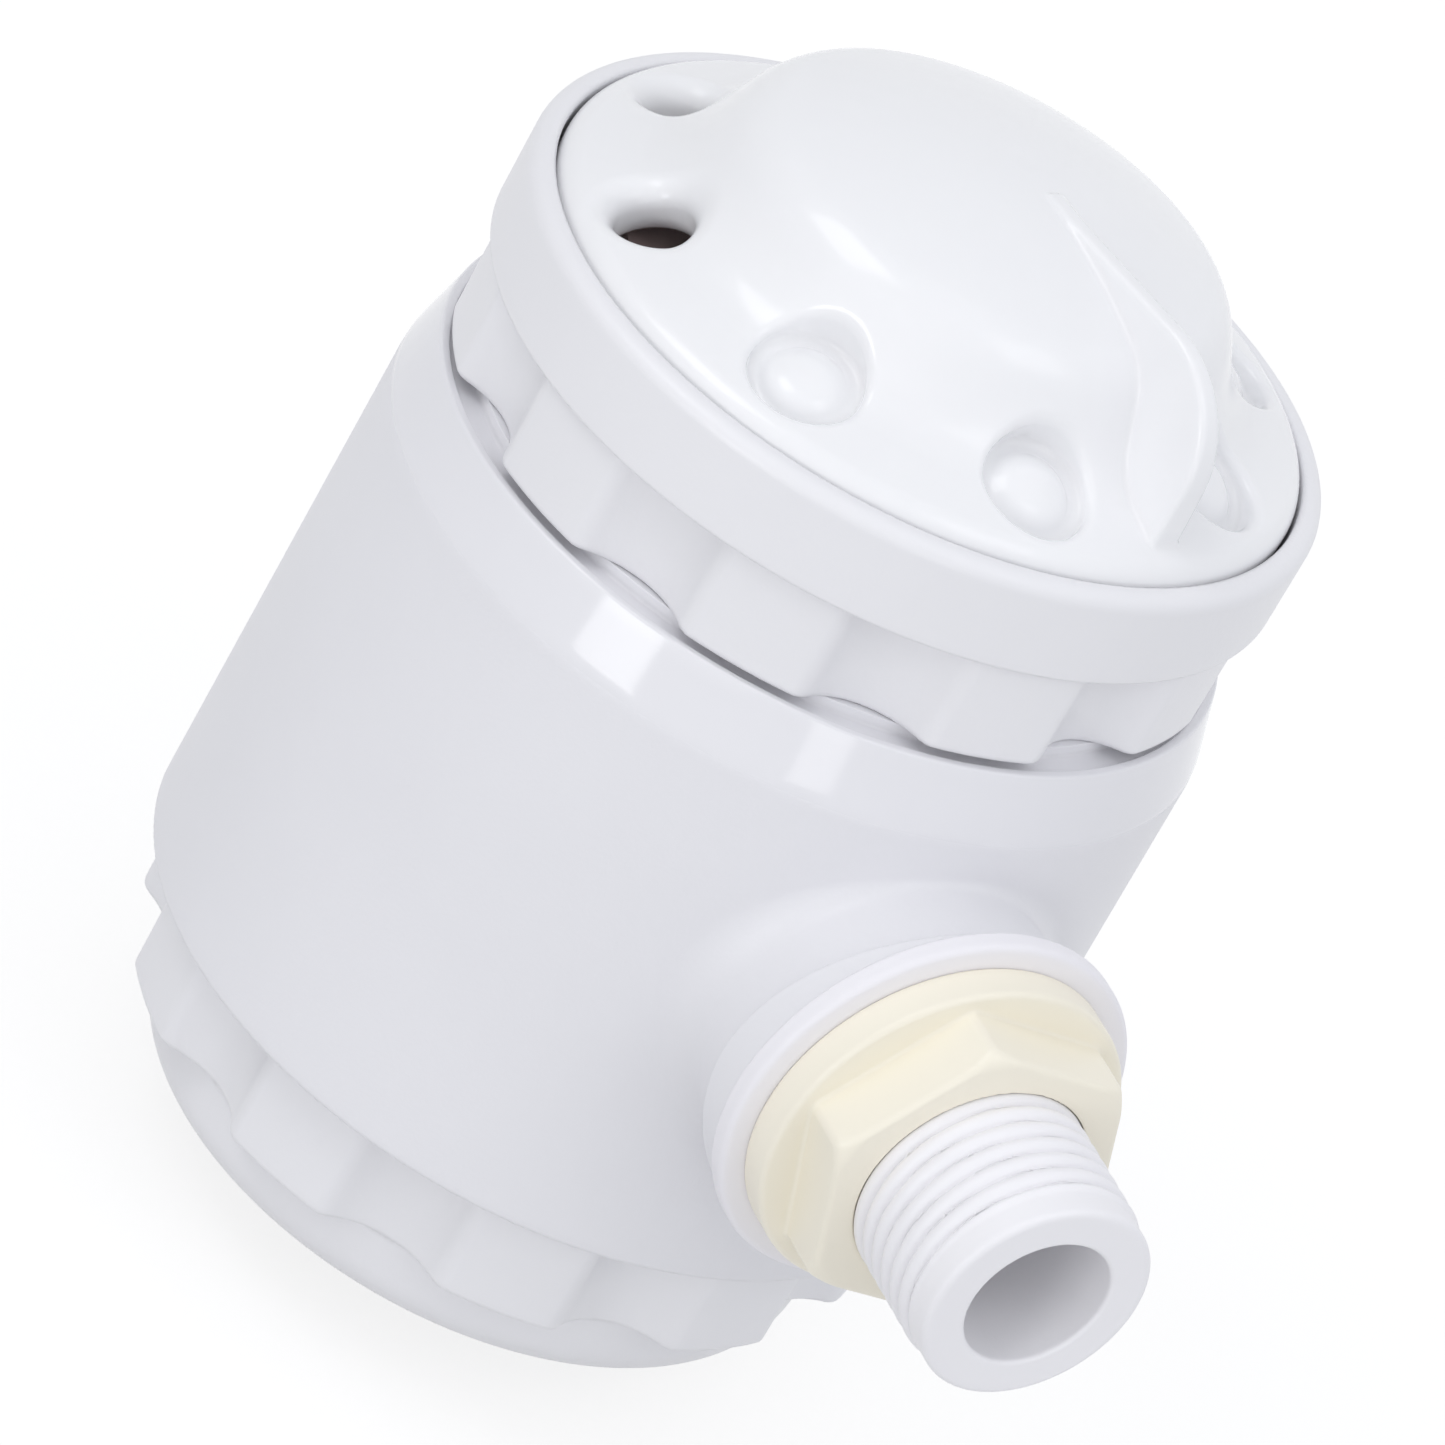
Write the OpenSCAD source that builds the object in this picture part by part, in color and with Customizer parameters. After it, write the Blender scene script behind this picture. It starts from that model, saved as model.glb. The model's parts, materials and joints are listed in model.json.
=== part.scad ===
// Steam outlet canister with a turning dial, two scalloped screw caps and a G1/2 side inlet.
// Millimetres. +Z runs up the canister axis, +X out along the inlet, Z = 0 is the flat base.

/* [Canister body] */
// Radius of the body at its lower edge
body_foot_radius = 38.8; // [36:0.1:42]
// Radius of the body where the top bevel starts
body_top_radius = 38.25; // [36:0.1:42]
// Length of the body from its lower edge to its top rim
body_length = 55.4; // [50:0.2:70]
// Height of the bevel under the top rim
bevel_height = 6.4; // [3:0.2:8]
// Outer radius of the top rim
rim_radius = 36.55; // [35.4:0.05:37.5]
// Thickness of the wall at the top rim
rim_wall = 1.6; // [1.2:0.1:2.4]
// How far the neck collars sit below the rims
recess_depth = 1.8; // [1:0.1:4]

/* [Threaded necks] */
// Outer radius of the two necks under their threads
neck_radius = 30.2; // [29.6:0.1:30.6]
// Bore radius of the two necks
neck_bore = 28; // [27:0.1:28.4]
// Height that the thread stands out from the neck
thread_height = 0.8; // [0.5:0.1:1]
// Radial room between the thread and the cap around it
thread_clearance = 0.35; // [0.3:0.01:0.5]

/* [Grip rings] */
// Outer radius of the finger lobes
grip_radius = 36; // [35:0.1:36.4]
// Number of finger lobes round each cap
grip_lobes = 10; // [8:1:12]
// Depth of the hollows between the lobes
grip_depth = 3; // [2:0.1:3.2]
// Share of each pitch that is lobe, not hollow
grip_share = 0.5; // [0.4:0.02:0.6]
// Height of the lobes that shows on the top cap
top_grip_height = 9.2; // [7:0.2:12]
// Height of the lobes on the bottom cap
bottom_grip_height = 10; // [8:0.2:12]
// Gap between each grip ring and the body
grip_gap = 1; // [0.6:0.1:2]
// Angle of the first top lobe
top_grip_angle = -4.5; // [-18:0.5:18]
// Angle of the first bottom lobe
bottom_grip_angle = 10.2; // [-18:0.5:18]

/* [Top cap] */
// Outer radius of the smooth ring round the dial
ring_radius = 36.9; // [36.6:0.1:38]
// Height of the smooth ring
ring_height = 8.85; // [8:0.05:11]
// Width of the lip round the dial
ring_lip = 1.9; // [1.4:0.05:2.4]
// Thickness of the web that carries the steam ports
web_thickness = 3; // [2.6:0.1:4]
// Radius of each steam port in the web
port_radius = 4.2; // [3:0.1:4.6]
// Distance of the web ports from the axis
port_circle = 21.5; // [19:0.1:22]

/* [Bottom cap] */
// Depth of the smooth cup below the grip ring
cup_depth = 7.4; // [6:0.2:16]
// Outer radius of the cup
cup_radius = 32.2; // [31.9:0.1:32.6]
// Radius of the rounding round the base
cup_rounding = 3.5; // [2:0.1:4]
// Thickness of the cup floor
cup_floor = 2.6; // [2:0.1:3.2]

/* [Seals] */
// Thickness of the flat seal under each cap
seal_thickness = 1.6; // [1.2:0.1:2]
// Radial width of the flat seals
seal_width = 2.6; // [2.2:0.1:2.8]

/* [Dial] */
// Gap between the dial and the ring round it
dial_gap = 0.55; // [0.5:0.05:1]
// Height of the dome above the ring lip
dome_height = 16.65; // [14:0.05:20]
// Radius of the side of the dome
dome_radius = 23.9; // [23:0.1:25]
// Radius of the shoulder of the dome
shoulder_radius = 5; // [4:0.1:6]
// Height of the shoulder's centre above the ring lip
shoulder_height = 7.75; // [7:0.05:9]
// Radius of the hollow fillet at the foot of the dome
foot_fillet = 4.6; // [4:0.1:5]
// Slope of the apron round the dome, in degrees
apron_slope = 18; // [14:0.5:20]
// Thickness of the dial shell
dial_wall = 3; // [2.8:0.1:3.4]
// Angle of the grip fin
fin_angle = 12.5; // [0:0.5:30]
// Thickness of the fin along its crest
fin_thickness = 1.8; // [1.6:0.1:2.6]
// Side draft of the fin, in degrees
fin_draft = 3; // [1:0.5:4]
// Distance of the fin's outer edge from the axis
fin_reach = 31.5; // [30.6:0.1:31.6]
// Radius of each steam hole in the dial
hole_radius = 4; // [3:0.1:4.2]
// Tilt of the steam holes and dimples away from the axis
station_tilt = 27; // [22:1:30]
// Distance of the steam holes from the axis
hole_circle = 27.8; // [27.4:0.1:28]
// Radius of the blind dimples
dimple_radius = 5; // [4.4:0.1:5.2]
// How far the dial turns from open to closed
dial_turn = 180; // [90:5:180]

/* [Dial bearing] */
// Radius of the dial spindle
spindle_radius = 4; // [3.6:0.1:4.4]
// Radial room round the spindle
running_clearance = 0.08; // [0.04:0.01:0.1]
// Thickness of the slip ring under the dial rim
glide_thickness = 0.6; // [0.4:0.1:0.8]
// Thickness of the rubber shutter disc
shutter_thickness = 2; // [1.6:0.1:2.4]
// Radius of the stop pin
stop_pin_radius = 1; // [0.8:0.1:1.2]

/* [Inlet] */
// Height of the inlet axis above the body's lower edge
inlet_height = 28.8; // [28:0.1:30]
// Distance of the inlet's end face from the canister axis
inlet_reach = 71.35; // [66:0.05:80]
// Radius over the crests of the G1/2 thread
inlet_thread_radius = 10.4775;
// Bore radius of the inlet
inlet_bore = 6.46; // [5.5:0.02:7]
// Length of the plain tip beyond the thread
inlet_tip_length = 2.8; // [2:0.1:4]
// Height of the boss's face above the top of the body wall
boss_height = 8.5; // [8:0.1:10]
// Radius of the boss's collar
boss_radius = 17.8; // [17:0.1:18]
// Reach of the fillet behind the boss, towards the barrel's ends
flare_reach = 3.4; // [3:0.1:3.6]
// Extra reach of that fillet on the boss's sides, where the barrel curves away
flare_side_reach = 4; // [3:0.5:5]
// Outer radius of the soft gasket
gasket_radius = 18.4; // [18:0.1:19]
// Thickness of the soft gasket
gasket_thickness = 2; // [1.6:0.1:2.6]
// Distance across the flats of the nut
nut_across_flats = 26; // [24:0.5:27]
// Height of the nut's hexagon
nut_height = 5.6; // [5:0.1:8]
// Radius of the nut's flange
nut_flange_radius = 16.3; // [16:0.1:17]
// Thickness of the nut's flange
nut_flange_thickness = 3.4; // [2.6:0.1:4]
// Angle of the nut's first corner from straight down the -Y side
nut_angle = 10.9; // [-30:0.1:30]

/* [Herb basket] */
// Outer radius of the basket at its mouth
basket_radius = 26.4; // [25.5:0.1:26.6]
// Depth of the basket below the neck
basket_depth = 24; // [20:0.5:25]
// Thickness of the basket wall
basket_wall = 1.5; // [1.2:0.1:1.8]
// Number of slots round the basket
basket_slots = 12; // [8:1:18]

/* [Hidden] */
$fn = 96;

overlap = 0.5;
part_gap = 0.3;

// Heights, from the base up
body_foot_z = cup_depth + bottom_grip_height + grip_gap;
rim_z = body_foot_z + body_length;
top_grip_z = rim_z + grip_gap;
ring_z = top_grip_z + top_grip_height;
lip_z = ring_z + ring_height;
dome_top_z = lip_z + dome_height;
ring_rounding = 1.4;
web_rise = 3.6;
web_top_z = ring_z + web_rise;
web_z = web_top_z - web_thickness;
plate_clearance = 0.15;
plate_step_width = 1.3;
plate_step_z = web_z + web_thickness / 2;
bottom_neck_z = cup_depth + seal_thickness;
basket_flange_thickness = 1.2;
top_neck_z = web_z - seal_thickness - basket_flange_thickness;
basket_flange_z = top_neck_z;
inlet_z = body_foot_z + inlet_height;

// Body
collar_thickness = 3;
glue_gap = 0.05;
barrel_bore = rim_radius - rim_wall;
collar_radius = barrel_bore - glue_gap;
top_collar_z = rim_z - recess_depth;
bottom_collar_z = body_foot_z + recess_depth;
bevel_z = rim_z - bevel_height;
collar_ledge_width = 1.45;
collar_ledge_height = 1.5;
cap_bore = neck_radius + thread_height + thread_clearance;
seal_step = 0.2;
seal_inner = neck_bore + seal_step;
seal_outer = seal_inner + seal_width;

// Boss on the body
boss_front_x = body_top_radius + boss_height;
boss_lip_step = 1.2;
boss_lip_crown = 0.6;
boss_neck_radius = boss_radius - boss_lip_step;
boss_edge_radius = boss_front_x - boss_lip_crown;
flare_sink = 0.25;
flare_turns = 48;
flare_steps = 6;
pad_radius = 17;
pad_depth = 3.95;
pad_face_x = barrel_bore - pad_depth;
boss_root_depth = 1.5;
boss_root_radius = barrel_bore + boss_root_depth;
nipple_bore_radius = inlet_thread_radius + thread_clearance;
shank_relief = 0.18;
tip_relief = 0.33;
nut_lead = 0.2;
inner_seal_thickness = 1.5;
inner_seal_radius = 15;
nipple_head_thickness = 3;
nipple_head_radius = 14.6;
nipple_shank_radius = inlet_thread_radius - shank_relief;
inlet_tip_radius = inlet_thread_radius - tip_relief;
gasket_rounding = 1.1;
gasket_front_x = boss_front_x + gasket_thickness;
nut_flange_front_x = gasket_front_x + nut_flange_thickness;
nut_front_x = nut_flange_front_x + nut_height;
thread_face_x = nut_front_x + nut_lead;
nut_corner_radius = nut_across_flats / sqrt(3);
nut_chamfer = 1;
tip_chamfer = 0.5;

// Dial
dial_radius = ring_radius - ring_lip - dial_gap;
recess_radius = ring_radius - ring_lip;
dial_foot_z = web_top_z + glide_thickness;
dome_shoulder_z = lip_z + shoulder_height;
shoulder_x = dome_radius - shoulder_radius;
shoulder_drop = dome_top_z - dome_shoulder_z;
crown_radius = (shoulder_x * shoulder_x + shoulder_drop * shoulder_drop
  - shoulder_radius * shoulder_radius) / (2 * (shoulder_drop - shoulder_radius));
crown_sweep = 90 - atan2(crown_radius - shoulder_drop, shoulder_x);
foot_x = dome_radius + foot_fillet;
side_height = 0.1;
foot_z = dome_shoulder_z - side_height;
rim_rounding = 1.6;
rim_x = dial_radius - rim_rounding;
apron_run = rim_x - foot_x + (foot_fillet + rim_rounding) * sin(apron_slope);
rim_arc_z = foot_z - (foot_fillet + rim_rounding) * cos(apron_slope) - apron_run * tan(apron_slope);
dial_rim_wall = 2.8;
rim_ceiling_drop = 0.4;
dial_rim_inner = dial_radius - dial_rim_wall;
hub_radius = 7;
hub_z = web_top_z + shutter_thickness;
spring_height = 1.5;
spindle_end_z = web_z - spring_height;
hole_step = 45;
hole_count = 4;
hole_drop = 1;
hole_mid_z = foot_z - foot_fillet - hole_drop;
hole_run_in = 5;
hole_run_out = 15;
dimple_step_in = 0.4;
dimple_circle = hole_circle - dimple_step_in;
dimple_rise = 0.1;
dimple_mid_z = foot_z - foot_fillet + dimple_rise;
dimple_depth = 1.4;
dimple_run_out = 8;
dimple_groove = 1.5;
button_radius = dimple_radius - dimple_groove;
button_bulge = 1.4;
button_sphere = (button_radius * button_radius + button_bulge * button_bulge) / (2 * button_bulge);
fin_crest_drop = 0.2;
fin_crest_z = dome_top_z - fin_crest_drop;
fin_root_depth = 1;
fin_corner = 10;
fin_start = 5;
fin_flare = 0.3;

// Dial bearing
washer_radius = 7.6;
washer_thickness = 1;
screw_radius = 2;
screw_head_radius = 3.9;
screw_head_height = 2.2;
screw_recess_radius = 2;
screw_length = 12;
screw_head_taper = 0.8;
screw_bore_spare = 2;
screw_bore_room = 0.04;
oring_minor = 0.75;
oring_major = spindle_radius + running_clearance + oring_minor;
oring_room = 0.05;
oring_pocket_depth = 2 * oring_minor + part_gap;
spring_wall = 0.6;
spring_outer = 8.4;
spring_inner = spindle_radius + part_gap;
shutter_radius = 26.8;
glide_step = 0.3;
glide_outer = dial_radius - glide_step;
glide_inner = dial_rim_inner + glide_step;
stop_circle = 28.5;
stop_rib_room = 0.4;
stop_rib_inner = stop_circle - stop_pin_radius - stop_rib_room;
stop_rib_height = 3;
stop_pin_length = 5.2;
stop_pin_depth = 2;
stop_room = asin((stop_pin_radius + part_gap) / stop_circle);
stop_rib_sweep = 360 - dial_turn - 2 * stop_room;
stop_rib_start = fin_angle - stop_rib_sweep / 2;
stop_pin_angle = stop_rib_start - stop_room;

// Basket
basket_inner = basket_radius - basket_wall;
basket_floor_z = top_neck_z - basket_depth;
basket_flange_radius = seal_outer;
ledge_width = 1.3;
ledge_height = 1.5;
ledge_drop = 9;
ledge_z = top_neck_z - ledge_drop;
slot_width = 3;
slot_foot_margin = 3.5;
slot_foot_z = basket_floor_z + slot_foot_margin;
slot_top_margin = 2;
slot_top_z = ledge_z - slot_top_margin;
mesh_thickness = 0.4;
lid_thickness = 1.6;
lid_clearance = 0.4;
lid_radius = basket_inner - lid_clearance;
knob_radius = 4;
knob_height = 3;
screen_ledge = 2;
cross_bar_width = 3;
lid_hole_radius = 1.6;
drill_ring_step = 5;

function arc(cx, cz, radius, from, to, steps) =
  [for (i = [0:steps]) [
    cx + radius * cos(from + (to - from) * i / steps),
    cz + radius * sin(from + (to - from) * i / steps)
  ]];

// Outline of the dial from its crown to its rim, set in by the given depth
function dial_outline(inset) = concat(
  arc(0, dome_top_z - crown_radius, crown_radius - inset, 90, 90 - crown_sweep, 12),
  arc(shoulder_x, dome_shoulder_z, shoulder_radius - inset, 90 - crown_sweep, 0, 8),
  arc(foot_x, foot_z, foot_fillet + inset, 180, 270 - apron_slope, 8),
  arc(rim_x, rim_arc_z, max(rim_rounding - inset, overlap / 5), 90 - apron_slope, 0, 5)
);

module inlet_axis() {
  translate([0, 0, inlet_z])
    rotate([0, 90, 0])
      children();
}

// A tube between two heights
module tube(inner, outer, from, to) {
  translate([0, 0, from])
    difference() {
      cylinder(r = outer, h = to - from);
      translate([0, 0, -overlap])
        cylinder(r = inner, h = to - from + 2 * overlap);
    }
}

// The scalloped outline of a grip ring, with its first lobe on the X axis
module grip_outline() {
  pitch = 360 / grip_lobes;
  half_hollow = pitch * (1 - grip_share) / 2;
  chord = grip_radius * sin(half_hollow);
  sag = grip_radius * cos(half_hollow) - (grip_radius - grip_depth);
  hollow_radius = (chord * chord + sag * sag) / (2 * sag);
  difference() {
    circle(r = grip_radius);
    for (i = [0:grip_lobes - 1])
      rotate(pitch * (i + 0.5))
        translate([grip_radius - grip_depth + hollow_radius, 0])
          circle(r = hollow_radius);
  }
}

// The barrel wall, with a ledge inside each end for its neck collar
module barrel() {
  top_seat_z = top_collar_z - collar_thickness;
  foot_seat_z = bottom_collar_z + collar_thickness;
  ledge_radius = barrel_bore - collar_ledge_width;
  ledge_run = collar_ledge_height + collar_ledge_width;
  rotate_extrude()
    polygon([
      [barrel_bore, body_foot_z],
      [body_foot_radius, body_foot_z],
      [body_top_radius, bevel_z],
      [rim_radius, rim_z],
      [barrel_bore, rim_z],
      [barrel_bore, top_seat_z],
      [ledge_radius, top_seat_z],
      [ledge_radius, top_seat_z - collar_ledge_height],
      [barrel_bore, top_seat_z - ledge_run],
      [barrel_bore, foot_seat_z + ledge_run],
      [ledge_radius, foot_seat_z + collar_ledge_height],
      [ledge_radius, foot_seat_z],
      [barrel_bore, foot_seat_z]
    ]);
}

// A disc that closes one end of the barrel, with a threaded neck standing on it
module neck_collar(neck_length) {
  rotate_extrude()
    polygon([
      [neck_bore, 0],
      [collar_radius, 0],
      [collar_radius, collar_thickness],
      [neck_radius, collar_thickness],
      [neck_radius, collar_thickness + neck_length],
      [neck_bore, collar_thickness + neck_length]
    ]);
}

module top_collar() {
  color("white")
    translate([0, 0, top_collar_z - collar_thickness])
      neck_collar(top_neck_z - top_collar_z);
}

module bottom_collar() {
  color("white")
    translate([0, 0, bottom_collar_z + collar_thickness])
      mirror([0, 0, 1])
        neck_collar(bottom_collar_z - bottom_neck_z);
}

// Distance from the canister axis plane to the barrel's face, at a place seen along the boss axis
function barrel_face_x(d, a) =
  let (
    z = inlet_z + d * cos(a),
    share = (z - body_foot_z) / (bevel_z - body_foot_z),
    radius = body_foot_radius + (body_top_radius - body_foot_radius) * share
  )
  sqrt(pow(radius, 2) - pow(d * sin(a), 2));

// The hollow curve from the boss neck out to the barrel, at one angle round the boss
function flare_line(a) =
  let (
    foot_d = boss_neck_radius + flare_reach + flare_side_reach * pow(sin(a), 2),
    foot_x = barrel_face_x(foot_d, a) - flare_sink,
    fall = (barrel_face_x(foot_d - 1, a) - barrel_face_x(foot_d, a)),
    bend_x = foot_x + fall * (foot_d - boss_neck_radius),
    head_x = sqrt(pow(boss_edge_radius + flare_sink, 2) - pow(boss_neck_radius * sin(a), 2))
  )
  [for (i = [0:flare_steps])
    let (t = i / flare_steps)
    [
      boss_neck_radius + (foot_d - boss_neck_radius) * pow(t, 2),
      head_x * pow(1 - t, 2) + 2 * bend_x * t * (1 - t) + foot_x * pow(t, 2)
    ]
  ];

// The neck of the boss and the fillet that joins it to the barrel all round
module boss_flare() {
  turns = flare_turns;
  rows = flare_steps + 2;
  rings = [
    for (i = [0:turns - 1])
      let (a = 360 * i / turns)
      for (p = concat([[boss_neck_radius, boss_front_x - flare_sink]], flare_line(a)))
        [p[1], p[0] * sin(a), inlet_z + p[0] * cos(a)]
  ];
  last = turns * rows;
  polyhedron(
    points = concat(rings, [[boss_front_x - flare_sink, 0, inlet_z], [0, 0, inlet_z]]),
    faces = [
      for (i = [0:turns - 1])
        let (m = i * rows, n = ((i + 1) % turns) * rows)
        each concat(
          [[last, m, n], [last + 1, n + rows - 1, m + rows - 1]],
          [for (k = [0:rows - 2]) each [[m + k, m + k + 1, n + k], [n + k, m + k + 1, n + k + 1]]]
        )
    ]
  );
}

module body() {
  color("white")
    difference() {
      union() {
        barrel();
        difference() {
          boss_flare();
          cylinder(r = boss_root_radius, h = rim_z);
        }
        difference() {
          inlet_axis()
            cylinder(r = boss_radius, h = boss_front_x);
          cylinder(r = boss_edge_radius, h = rim_z);
        }
        inlet_axis()
          translate([0, 0, pad_face_x])
            cylinder(r = pad_radius, h = boss_root_radius - pad_face_x);
      }
      inlet_axis()
        translate([0, 0, pad_face_x - overlap])
          cylinder(r = nipple_bore_radius, h = boss_front_x - pad_face_x + 2 * overlap);
    }
}

module inlet_nipple() {
  head_x = pad_face_x - inner_seal_thickness - nipple_head_thickness;
  tip_x = inlet_reach - inlet_tip_length;
  color("gainsboro")
    inlet_axis()
      rotate_extrude()
        polygon([
          [inlet_bore, head_x],
          [nipple_head_radius, head_x],
          [nipple_head_radius, head_x + nipple_head_thickness],
          [nipple_shank_radius, head_x + nipple_head_thickness],
          [nipple_shank_radius, thread_face_x],
          [inlet_thread_radius, thread_face_x],
          [inlet_thread_radius, tip_x],
          [inlet_tip_radius, tip_x],
          [inlet_tip_radius, inlet_reach - tip_chamfer],
          [inlet_tip_radius - tip_chamfer, inlet_reach],
          [inlet_bore, inlet_reach]
        ]);
}

module inner_seal() {
  color("dimgray")
    inlet_axis()
      tube(nipple_bore_radius, inner_seal_radius, pad_face_x - inner_seal_thickness, pad_face_x);
}

module boss_gasket() {
  color("whitesmoke")
    inlet_axis()
      rotate_extrude()
        polygon(concat(
          [
            [nipple_bore_radius, gasket_front_x],
            [nipple_bore_radius, boss_front_x],
            [gasket_radius, boss_front_x]
          ],
          arc(gasket_radius - gasket_rounding, gasket_front_x - gasket_rounding, gasket_rounding, 0, 90, 6)
        ));
}

module flange_nut() {
  color("cornsilk")
    inlet_axis()
      difference() {
        union() {
          translate([0, 0, gasket_front_x])
            cylinder(r = nut_flange_radius, h = nut_flange_thickness);
          intersection() {
            translate([0, 0, gasket_front_x])
              rotate(90 - nut_angle)
                cylinder(r = nut_corner_radius, h = nut_front_x - gasket_front_x, $fn = 6);
            rotate_extrude()
              polygon([
                [0, gasket_front_x],
                [nut_corner_radius + overlap, gasket_front_x],
                [nut_corner_radius + overlap, nut_front_x - nut_chamfer],
                [nut_corner_radius - nut_chamfer, nut_front_x],
                [0, nut_front_x]
              ]);
          }
        }
        translate([0, 0, gasket_front_x - overlap])
          cylinder(r = nipple_bore_radius, h = nut_front_x - gasket_front_x + 2 * overlap);
      }
}

module bottom_gasket() {
  color("dimgray")
    tube(seal_inner, seal_outer, cup_depth, bottom_neck_z);
}

module bottom_cap() {
  grip_top_z = cup_depth + bottom_grip_height;
  color("white")
    difference() {
      union() {
        translate([0, 0, cup_depth])
          rotate(bottom_grip_angle)
            linear_extrude(height = bottom_grip_height)
              grip_outline();
        rotate_extrude()
          polygon(concat(
            [[0, cup_depth + overlap], [0, 0]],
            arc(cup_radius - cup_rounding, cup_rounding, cup_rounding, -90, 0, 8),
            [[cup_radius, cup_depth + overlap]]
          ));
      }
      translate([0, 0, cup_depth])
        cylinder(r = cap_bore, h = grip_top_z);
      translate([0, 0, cup_floor])
        cylinder(r = neck_bore, h = cup_depth);
    }
}

module basket() {
  color("ghostwhite")
    difference() {
      rotate_extrude()
        polygon([
          [0, basket_floor_z],
          [basket_radius, basket_floor_z],
          [basket_radius, basket_flange_z],
          [basket_flange_radius, basket_flange_z],
          [basket_flange_radius, basket_flange_z + basket_flange_thickness],
          [basket_inner, basket_flange_z + basket_flange_thickness],
          [basket_inner, ledge_z],
          [basket_inner - ledge_width, ledge_z],
          [basket_inner - ledge_width, ledge_z - ledge_height],
          [basket_inner, ledge_z - ledge_height],
          [basket_inner, basket_floor_z + basket_wall],
          [0, basket_floor_z + basket_wall]
        ]);
      for (i = [0:basket_slots - 1])
        rotate(360 / basket_slots * i)
          translate([basket_inner - overlap, -slot_width / 2, slot_foot_z])
            cube([basket_wall + 2 * overlap, slot_width, slot_top_z - slot_foot_z]);
      translate([0, 0, basket_floor_z - overlap])
        cylinder(r = basket_inner - screen_ledge, h = basket_wall + 2 * overlap);
    }
  color("ghostwhite")
    for (angle = [0, 90])
      rotate(angle)
        translate([-basket_inner, -cross_bar_width / 2, basket_floor_z])
          cube([2 * basket_inner, cross_bar_width, basket_wall]);
}

// Rings of drilled holes through a disc
module hole_rings(radius, counts, from, thickness) {
  for (ring = [0:len(counts) - 1])
    if (counts[ring] > 0)
      for (i = [0:counts[ring] - 1])
        rotate(360 / counts[ring] * i)
          translate([drill_ring_step * (ring + 1), 0, from - overlap])
            cylinder(r = radius, h = thickness + 2 * overlap, $fn = 24);
}

module basket_screen() {
  color("silver")
    translate([0, 0, basket_floor_z + basket_wall])
      cylinder(r = basket_inner - part_gap, h = mesh_thickness);
}

module basket_lid() {
  color("ghostwhite")
    difference() {
      union() {
        translate([0, 0, ledge_z])
          cylinder(r = lid_radius, h = lid_thickness);
        translate([0, 0, ledge_z])
          cylinder(r = knob_radius, h = lid_thickness + knob_height);
      }
      hole_rings(lid_hole_radius, [0, 12, 16, 24], ledge_z, lid_thickness);
    }
}

module top_gasket() {
  color("dimgray")
    tube(seal_inner, seal_outer, web_z - seal_thickness, web_z);
}

module top_cap() {
  lip_radius = cap_bore - plate_step_width;
  color("white")
    difference() {
      union() {
        translate([0, 0, top_grip_z])
          rotate(top_grip_angle)
            linear_extrude(height = top_grip_height + overlap)
              grip_outline();
        rotate_extrude()
          polygon(concat(
            [[0, ring_z], [ring_radius, ring_z]],
            arc(ring_radius - ring_rounding, lip_z - ring_rounding, ring_rounding, 0, 90, 6),
            [[recess_radius, lip_z], [recess_radius, web_top_z], [0, web_top_z]]
          ));
      }
      translate([0, 0, top_grip_z - overlap])
        cylinder(r = cap_bore, h = plate_step_z - top_grip_z + overlap);
      translate([0, 0, plate_step_z - overlap])
        cylinder(r = lip_radius, h = web_top_z - plate_step_z + 2 * overlap);
    }
}

// The valve plate under the dial, held up against the cap's inner lip by its stepped edge
module port_plate() {
  plate_radius = cap_bore - plate_clearance;
  color("gainsboro")
    difference() {
      rotate_extrude()
        polygon([
          [spindle_radius + running_clearance, web_z],
          [plate_radius, web_z],
          [plate_radius, plate_step_z],
          [plate_radius - plate_step_width, plate_step_z],
          [plate_radius - plate_step_width, web_top_z],
          [spindle_radius + running_clearance, web_top_z]
        ]);
      translate([0, 0, web_top_z - oring_pocket_depth])
        cylinder(r = oring_major + oring_minor + oring_room, h = oring_pocket_depth + overlap);
      steam_stations()
        translate([port_circle, 0, web_z - overlap])
          cylinder(r = port_radius, h = web_thickness + 2 * overlap);
      rotate(stop_pin_angle)
        translate([stop_circle, 0, web_top_z - stop_pin_depth])
          cylinder(r = stop_pin_radius, h = stop_pin_depth + overlap, $fn = 32);
    }
}

// Places a child at each steam hole, behind the dome as seen from the fin
module steam_stations() {
  for (i = [0:hole_count - 1])
    rotate(fin_angle + 180 + hole_step * (i - (hole_count - 1) / 2))
      children();
}

// Places a child at each blind dimple, on the fin's side of the dial
module dimple_stations() {
  for (i = [0:hole_count - 1])
    rotate(fin_angle + hole_step * (i - (hole_count - 1) / 2))
      children();
}

module stop_pin() {
  color("lightgray")
    rotate(stop_pin_angle)
      translate([stop_circle, 0, web_top_z - stop_pin_depth])
        cylinder(r = stop_pin_radius, h = stop_pin_length, $fn = 32);
}

module glide_ring() {
  color("whitesmoke")
    tube(glide_inner, glide_outer, web_top_z, dial_foot_z);
}

module shutter_disc() {
  color("rosybrown")
    difference() {
      translate([0, 0, web_top_z])
        cylinder(r = shutter_radius, h = shutter_thickness);
      translate([0, 0, web_top_z - overlap])
        cylinder(r = spindle_radius + part_gap, h = shutter_thickness + 2 * overlap);
      steam_stations()
        translate([port_circle, 0, web_top_z - overlap])
          cylinder(r = port_radius, h = shutter_thickness + 2 * overlap);
    }
}

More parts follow.
